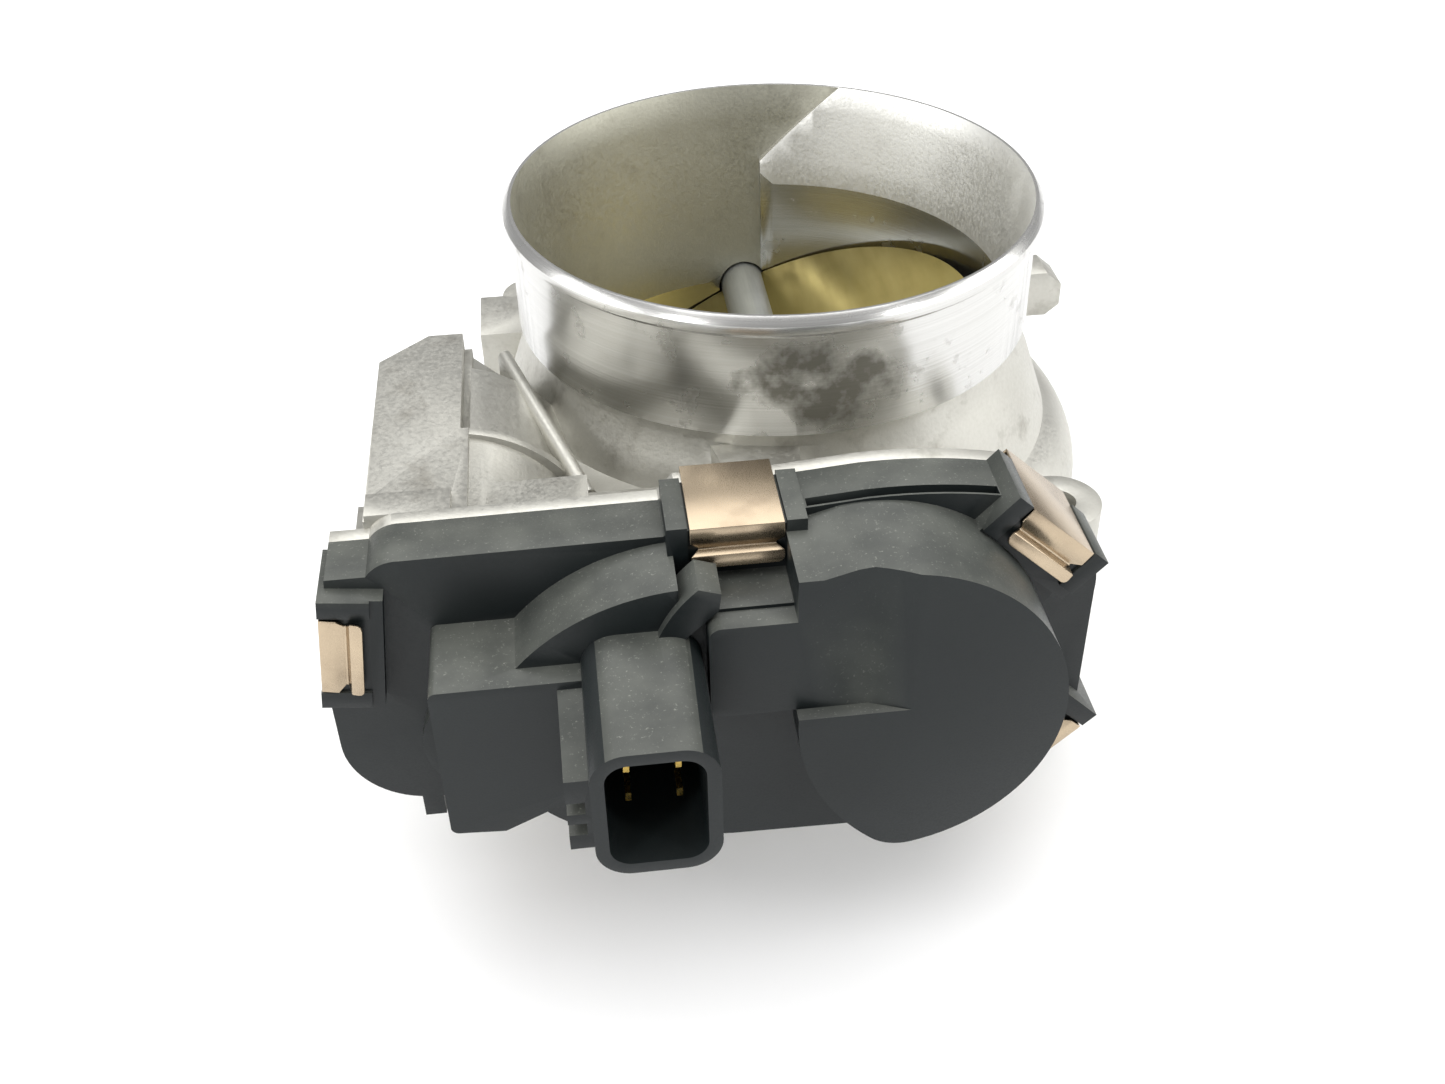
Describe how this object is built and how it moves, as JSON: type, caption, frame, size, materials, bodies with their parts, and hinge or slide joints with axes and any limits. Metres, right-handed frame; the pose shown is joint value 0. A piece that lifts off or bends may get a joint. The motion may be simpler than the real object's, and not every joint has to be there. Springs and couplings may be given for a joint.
{
  "type": "throttle body",
  "caption": "Electronic throttle body: cast round bore with a butterfly plate on a cross shaft, side motor and gear drive under a clipped plastic cover with a socket.",
  "frame": {"origin": "centre of the bore at the manifold mounting face", "axes": "+Z along the bore towards the air inlet; the throttle shaft lies along Y; the gear cover is on the -Y side and its socket faces -Y"},
  "size_m": [0.1542, 0.1813, 0.1],
  "materials": {
    "cast_aluminium": "shot-blasted casting with turned collar and bore",
    "steel": "ground steel",
    "brass": "rolled brass, satin",
    "gear_plastic": "natural moulded nylon",
    "magnet": "bonded ferrite",
    "seal_rubber": "moulded rubber",
    "spring_steel": "drawn spring wire",
    "zinc_steel": "zinc-plated drawn steel",
    "armature_steel": "laminated core",
    "bronze": "sintered bronze",
    "end_plastic": "moulded",
    "contact_metal": "gold-flashed copper alloy",
    "cover_plastic": "glass-filled moulded plastic, fine spark-eroded texture",
    "circuit_board": "glass-epoxy board",
    "chip_plastic": "moulded",
    "clip_steel": "tempered spring steel with a bronze tint"
  },
  "bodies": {
    "housing": {"throttle_housing": "cast_aluminium", "end_plug": "steel", "front_bearing": "steel", "rear_bearing": "steel", "shaft_seal": "seal_rubber", "return_spring": "spring_steel", "gear_pin": "steel", "motor_can": "zinc_steel", "motor_magnets": "magnet", "motor_rear_bush": "bronze", "motor_end_plate": "end_plastic", "motor_screws": "steel", "motor_terminals": "contact_metal", "gearbox_cover": "cover_plastic", "connector_pins": "contact_metal", "cover_gasket": "seal_rubber", "sensor_board": "circuit_board", "sensor_chip": "chip_plastic", "cover_clips": "clip_steel", "stop_pin": "steel"},
    "spindle": {"throttle_shaft": "steel", "throttle_plate": "brass", "plate_screws": "steel", "sector_gear": "gear_plastic", "sensor_magnet": "magnet"},
    "idler": {"intermediate_gear": "gear_plastic"},
    "rotor": {"motor_armature": "armature_steel", "motor_pinion": "bronze"}
  },
  "joints": [
    {"name": "throttle_turn", "type": "hinge", "parent": "housing", "child": "spindle", "pos_m": [0, 0, 0.0545], "axis": [0, -1, 0], "range_deg": [-16, 63], "stiffness_Nm_per_rad": 0.04},
    {"name": "idler_turn", "type": "hinge", "parent": "housing", "child": "idler", "pos_m": [-0.03287, -0.08, 0.05161], "axis": [0, -1, 0], "range_deg": [-215, 55]},
    {"name": "motor_turn", "type": "hinge", "parent": "housing", "child": "rotor", "pos_m": [-0.0585, -0.05, 0.056], "axis": [0, -1, 0], "range_deg": [-241, 947]}
  ],
  "couplings": [
    {"joint": "idler_turn", "follows": "throttle_turn", "ratio": -3.4},
    {"joint": "motor_turn", "follows": "throttle_turn", "ratio": 15.017}
  ]
}
